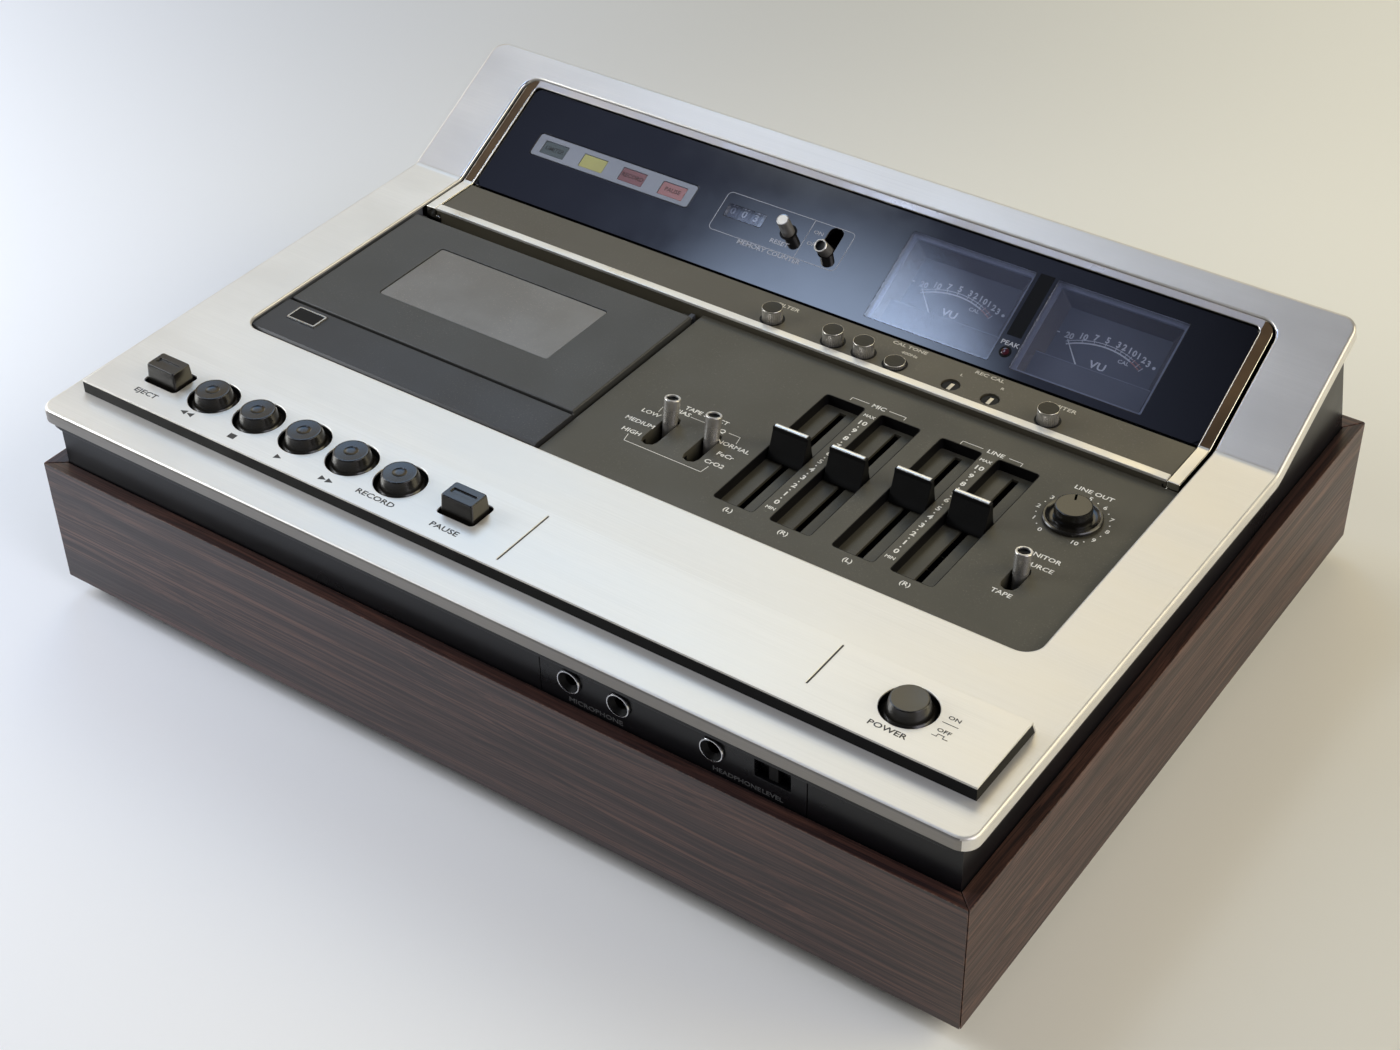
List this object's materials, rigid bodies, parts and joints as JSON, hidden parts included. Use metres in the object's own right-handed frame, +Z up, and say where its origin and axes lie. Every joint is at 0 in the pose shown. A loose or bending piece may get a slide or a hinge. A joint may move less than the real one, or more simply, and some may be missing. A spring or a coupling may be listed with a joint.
{
  "type": "cassette deck",
  "caption": "Desk cassette deck in a wood case with a lidded tape bay, slide faders, toggles, push buttons, a level knob and sloping level meters.",
  "frame": {"origin": "centre of the footprint, on the surface that the feet stand on", "axes": "+Z up, the front with the jacks faces -Y, +X runs to the right as seen from the front"},
  "size_m": [0.44, 0.328, 0.1326],
  "materials": {
    "rosewood": "satin lacquer",
    "body_black": "satin",
    "top_aluminium": "fine brushed",
    "bright_trim": "polished",
    "key_black": "gloss",
    "panel_olive": "satin",
    "lid_grey": "satin",
    "window_glass": "clear smoked",
    "zinc_steel": "zinc plated",
    "spindle_white": "satin",
    "chrome": "polished",
    "meter_glass": "clear smoked",
    "meter_grey": "satin",
    "needle_white": "satin",
    "wheel_black": "satin"
  },
  "bodies": {
    "deck": {"case_front": "rosewood", "case_back": "rosewood", "case_left": "rosewood", "case_right": "rosewood", "base_plate": "body_black", "body_shell": "body_black", "top_panel": "top_aluminium", "key_plate": "top_aluminium", "control_panel": "panel_olive", "transport_chassis": "zinc_steel", "head_cover": "lid_grey", "step_bar": "bright_trim", "switch_strip": "panel_olive", "meter_trim": "bright_trim", "meter_panel": "meter_glass", "meter_left": "meter_grey", "meter_right": "meter_grey", "indicator_frame": "meter_grey", "counter_frame": "zinc_steel", "jack_plate": "body_black", "jack_mic_left": "chrome", "jack_mic_right": "chrome", "jack_headphones": "chrome", "socket_plate": "body_black", "power_transformer": "zinc_steel"},
    "rewind_key": {"key_rewind": "key_black"},
    "stop_key": {"key_stop": "key_black"},
    "play_key": {"key_play": "key_black"},
    "forward_key": {"key_forward": "key_black"},
    "record_key": {"key_record": "key_black"},
    "eject_key": {"key_eject": "key_black"},
    "pause_key": {"key_pause": "key_black"},
    "power_key": {"power_button": "key_black"},
    "mic_left_fader": {"fader_mic_left": "key_black"},
    "mic_right_fader": {"fader_mic_right": "key_black"},
    "line_left_fader": {"fader_line_left": "key_black"},
    "line_right_fader": {"fader_line_right": "key_black"},
    "bias_toggle": {"toggle_bias": "chrome"},
    "equalizer_toggle": {"toggle_equalizer": "chrome"},
    "monitor_toggle": {"toggle_monitor": "chrome"},
    "level_knob": {"output_knob": "key_black"},
    "supply_spindle": {"spindle_supply": "spindle_white"},
    "takeup_spindle": {"spindle_takeup": "spindle_white"},
    "lid": {"cassette_lid": "lid_grey", "lid_window": "window_glass"},
    "filter_button": {"button_filter": "chrome"},
    "noise_reduction_button": {"button_noise_reduction": "chrome"},
    "fm_mode_button": {"button_fm_mode": "chrome"},
    "cal_tone_button": {"button_cal_tone": "chrome"},
    "limiter_button": {"button_limiter": "chrome"},
    "cal_left_screw": {"record_cal_left": "key_black"},
    "cal_right_screw": {"record_cal_right": "key_black"},
    "left_needle": {"needle_left": "needle_white"},
    "right_needle": {"needle_right": "needle_white"},
    "hundreds_wheel": {"counter_wheel_hundreds": "wheel_black"},
    "tens_wheel": {"counter_wheel_tens": "wheel_black"},
    "units_wheel": {"counter_wheel_units": "wheel_black"},
    "reset_plunger": {"counter_reset": "chrome"},
    "memory_switch": {"memory_lever": "chrome"},
    "level_slide": {"headphone_level_slide": "key_black"}
  },
  "joints": [
    {"name": "rewind_press", "type": "slide", "parent": "deck", "child": "rewind_key", "axis": [0, 0, -1], "range_m": [0, 0.0035], "stiffness_N_per_m": 400, "springref_m": -0.003},
    {"name": "stop_press", "type": "slide", "parent": "deck", "child": "stop_key", "axis": [0, 0, -1], "range_m": [0, 0.0035], "stiffness_N_per_m": 400, "springref_m": -0.003},
    {"name": "play_press", "type": "slide", "parent": "deck", "child": "play_key", "axis": [0, 0, -1], "range_m": [0, 0.0035], "stiffness_N_per_m": 400, "springref_m": -0.003},
    {"name": "forward_press", "type": "slide", "parent": "deck", "child": "forward_key", "axis": [0, 0, -1], "range_m": [0, 0.0035], "stiffness_N_per_m": 400, "springref_m": -0.003},
    {"name": "record_press", "type": "slide", "parent": "deck", "child": "record_key", "axis": [0, 0, -1], "range_m": [0, 0.0035], "stiffness_N_per_m": 400, "springref_m": -0.003},
    {"name": "eject_press", "type": "slide", "parent": "deck", "child": "eject_key", "axis": [0, 0, -1], "range_m": [0, 0.0035], "stiffness_N_per_m": 400, "springref_m": -0.003},
    {"name": "pause_press", "type": "slide", "parent": "deck", "child": "pause_key", "axis": [0, 0, -1], "range_m": [0, 0.0035], "stiffness_N_per_m": 400, "springref_m": -0.003},
    {"name": "power_press", "type": "slide", "parent": "deck", "child": "power_key", "axis": [0, 0, -1], "range_m": [0, 0.0035], "stiffness_N_per_m": 400, "springref_m": -0.003},
    {"name": "mic_left_slide", "type": "slide", "parent": "deck", "child": "mic_left_fader", "axis": [0, 1, 0], "range_m": [-0.0329, 0.0365]},
    {"name": "mic_right_slide", "type": "slide", "parent": "deck", "child": "mic_right_fader", "axis": [0, 1, 0], "range_m": [-0.0336, 0.0358]},
    {"name": "line_left_slide", "type": "slide", "parent": "deck", "child": "line_left_fader", "axis": [0, 1, 0], "range_m": [-0.0361, 0.0333]},
    {"name": "line_right_slide", "type": "slide", "parent": "deck", "child": "line_right_fader", "axis": [0, 1, 0], "range_m": [-0.036, 0.0334]},
    {"name": "bias_tilt", "type": "hinge", "parent": "deck", "child": "bias_toggle", "pos_m": [-0.0005, -0.03025, 0.065], "axis": [1, 0, 0], "range_deg": [0, 24.4]},
    {"name": "equalizer_tilt", "type": "hinge", "parent": "deck", "child": "equalizer_toggle", "pos_m": [0.0197, -0.03025, 0.065], "axis": [1, 0, 0], "range_deg": [0, 24.4]},
    {"name": "monitor_tilt", "type": "hinge", "parent": "deck", "child": "monitor_toggle", "pos_m": [0.162, -0.03205, 0.065], "axis": [1, 0, 0], "range_deg": [0, 14.8]},
    {"name": "level_turn", "type": "hinge", "parent": "deck", "child": "level_knob", "pos_m": [0.1628, 0.0104, 0.0938], "axis": [0, 0, 1], "range_deg": [-165, 135]},
    {"name": "supply_spin", "type": "hinge", "parent": "deck", "child": "supply_spindle", "pos_m": [-0.13525, -0.008, 0.08], "axis": [0, 0, 1], "continuous": true},
    {"name": "takeup_spin", "type": "hinge", "parent": "deck", "child": "takeup_spindle", "pos_m": [-0.09275, -0.008, 0.08], "axis": [0, 0, 1], "continuous": true},
    {"name": "lid_hinge", "type": "hinge", "parent": "deck", "child": "lid", "pos_m": [-0.114, 0.0442, 0.09], "axis": [-1, 0, 0], "range_deg": [0, 45]},
    {"name": "filter_press", "type": "slide", "parent": "deck", "child": "filter_button", "axis": [0, 0, -1], "range_m": [0, 0.0044], "stiffness_N_per_m": 300, "springref_m": -0.003},
    {"name": "noise_reduction_press", "type": "slide", "parent": "deck", "child": "noise_reduction_button", "axis": [0, 0, -1], "range_m": [0, 0.0044], "stiffness_N_per_m": 300, "springref_m": -0.003},
    {"name": "fm_mode_press", "type": "slide", "parent": "deck", "child": "fm_mode_button", "axis": [0, 0, -1], "range_m": [0, 0.0044], "stiffness_N_per_m": 300, "springref_m": -0.003},
    {"name": "cal_tone_release", "type": "slide", "parent": "deck", "child": "cal_tone_button", "axis": [0, 0, 1], "range_m": [0, 0.0044]},
    {"name": "limiter_press", "type": "slide", "parent": "deck", "child": "limiter_button", "axis": [0, 0, -1], "range_m": [0, 0.0044], "stiffness_N_per_m": 300, "springref_m": -0.003},
    {"name": "cal_left_turn", "type": "hinge", "parent": "deck", "child": "cal_left_screw", "pos_m": [0.0816, 0.0575, 0.0925], "axis": [0, 0, 1], "range_deg": [-140, 140]},
    {"name": "cal_right_turn", "type": "hinge", "parent": "deck", "child": "cal_right_screw", "pos_m": [0.0999, 0.0575, 0.0925], "axis": [0, 0, 1], "range_deg": [-140, 140]},
    {"name": "left_needle_swing", "type": "hinge", "parent": "deck", "child": "left_needle", "pos_m": [0.05645, 0.08905, 0.09096], "axis": [0, -0.4721, 0.8816], "range_deg": [-83, 0], "stiffness_Nm_per_rad": 0.002, "springref_deg": 17.19},
    {"name": "right_needle_swing", "type": "hinge", "parent": "deck", "child": "right_needle", "pos_m": [0.12635, 0.08905, 0.09096], "axis": [0, -0.4721, 0.8816], "range_deg": [-83, 0], "stiffness_Nm_per_rad": 0.002, "springref_deg": 17.19},
    {"name": "units_spin", "type": "hinge", "parent": "deck", "child": "units_wheel", "pos_m": [-0.04575, 0.10948, 0.09963], "axis": [1, 0, 0], "continuous": true},
    {"name": "tens_spin", "type": "hinge", "parent": "deck", "child": "tens_wheel", "pos_m": [-0.0519, 0.10948, 0.09963], "axis": [1, 0, 0], "continuous": true},
    {"name": "hundreds_spin", "type": "hinge", "parent": "deck", "child": "hundreds_wheel", "pos_m": [-0.05805, 0.10948, 0.09963], "axis": [1, 0, 0], "continuous": true},
    {"name": "reset_press", "type": "slide", "parent": "deck", "child": "reset_plunger", "axis": [0, 0.4721, -0.8816], "range_m": [0, 0.003], "stiffness_N_per_m": 200, "springref_m": -0.003},
    {"name": "memory_tilt", "type": "hinge", "parent": "deck", "child": "memory_switch", "pos_m": [-0.0053, 0.11114, 0.09451], "axis": [1, 0, 0], "range_deg": [-26.4, 0]},
    {"name": "level_slide_move", "type": "slide", "parent": "deck", "child": "level_slide", "axis": [1, 0, 0], "range_m": [-0.004, 0.004]}
  ],
  "couplings": [
    {"joint": "tens_spin", "follows": "units_spin", "ratio": 0.1},
    {"joint": "hundreds_spin", "follows": "units_spin", "ratio": 0.01}
  ]
}
